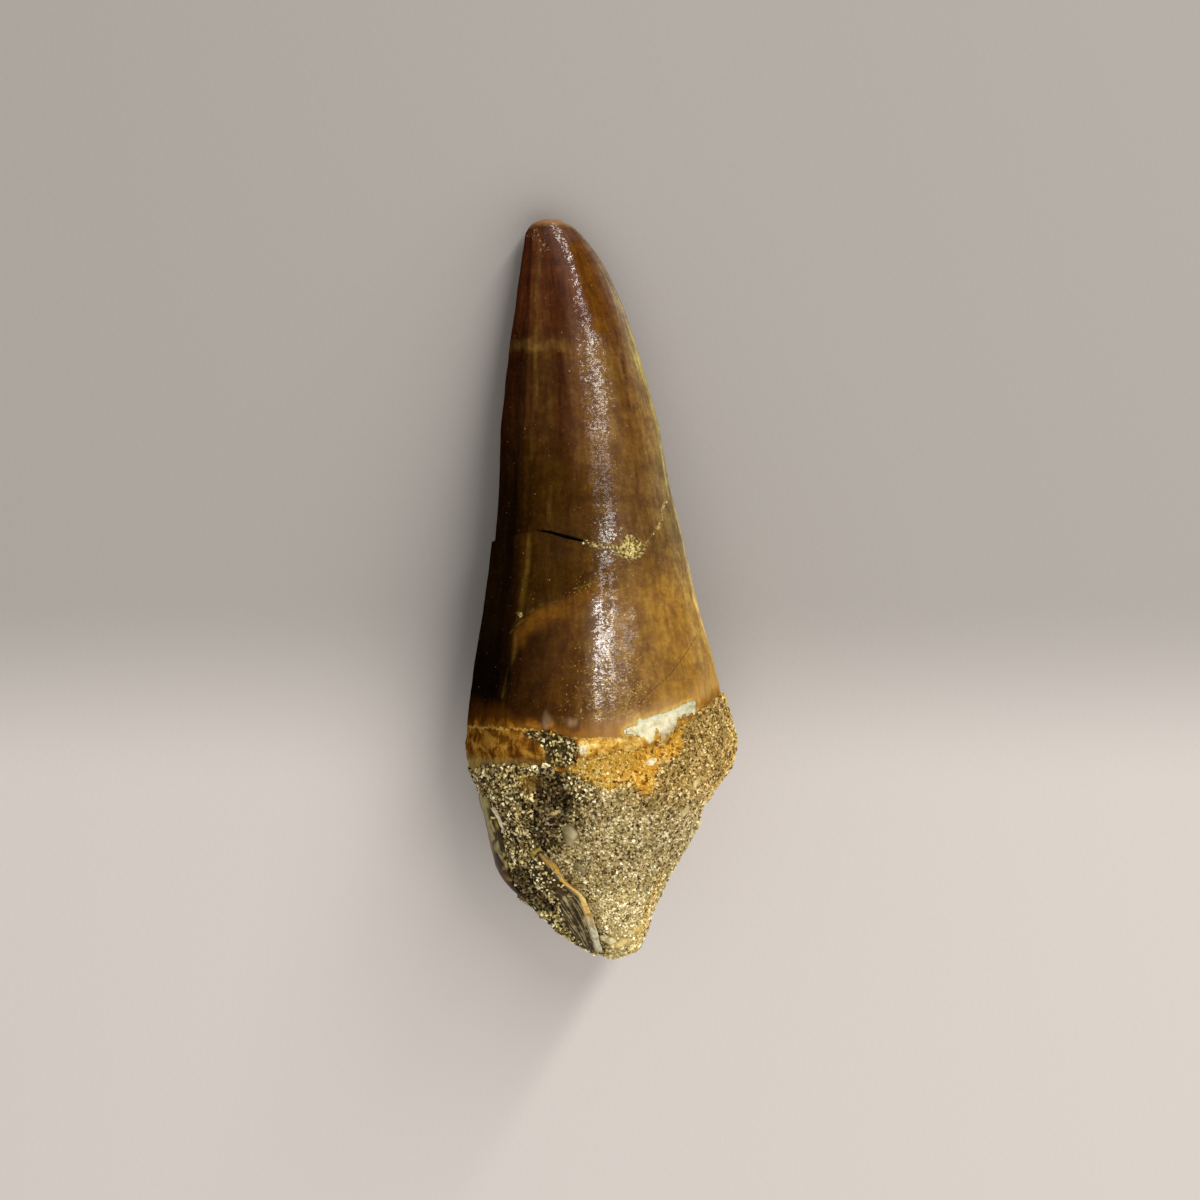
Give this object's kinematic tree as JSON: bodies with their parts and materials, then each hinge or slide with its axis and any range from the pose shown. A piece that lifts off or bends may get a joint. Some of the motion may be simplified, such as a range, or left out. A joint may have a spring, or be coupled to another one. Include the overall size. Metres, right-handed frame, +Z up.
{
  "type": "fossil mosasaur tooth",
  "caption": "Fossil marine reptile tooth: a slender glossy brown conical crown, slightly curved, in a tapering lump of sandy matrix, lying on its side.",
  "frame": {"origin": "on the surface that the tooth lies on, below the middle of its bounding box", "axes": "+Y towards the crown's tip, +X to the tooth's right as seen from above, +Z up"},
  "size_m": [0.022, 0.0594, 0.0188],
  "materials": {
    "crown": "glossy brown fossil enamel, purple-brown at the tip and golden near the gum line",
    "matrix": "cemented phosphate sand of cream, tan, brown and black grains",
    "bone_splinter": "satin ochre fossil bone with a striated grey side",
    "root_shard": "smooth olive and amber fossil bone",
    "pebble": "smooth olive-grey"
  },
  "bodies": {
    "root": {"crown": "crown", "matrix": "matrix", "bone_splinter": "bone_splinter", "root_shard": "root_shard", "pebble": "pebble"}
  },
  "joints": []
}
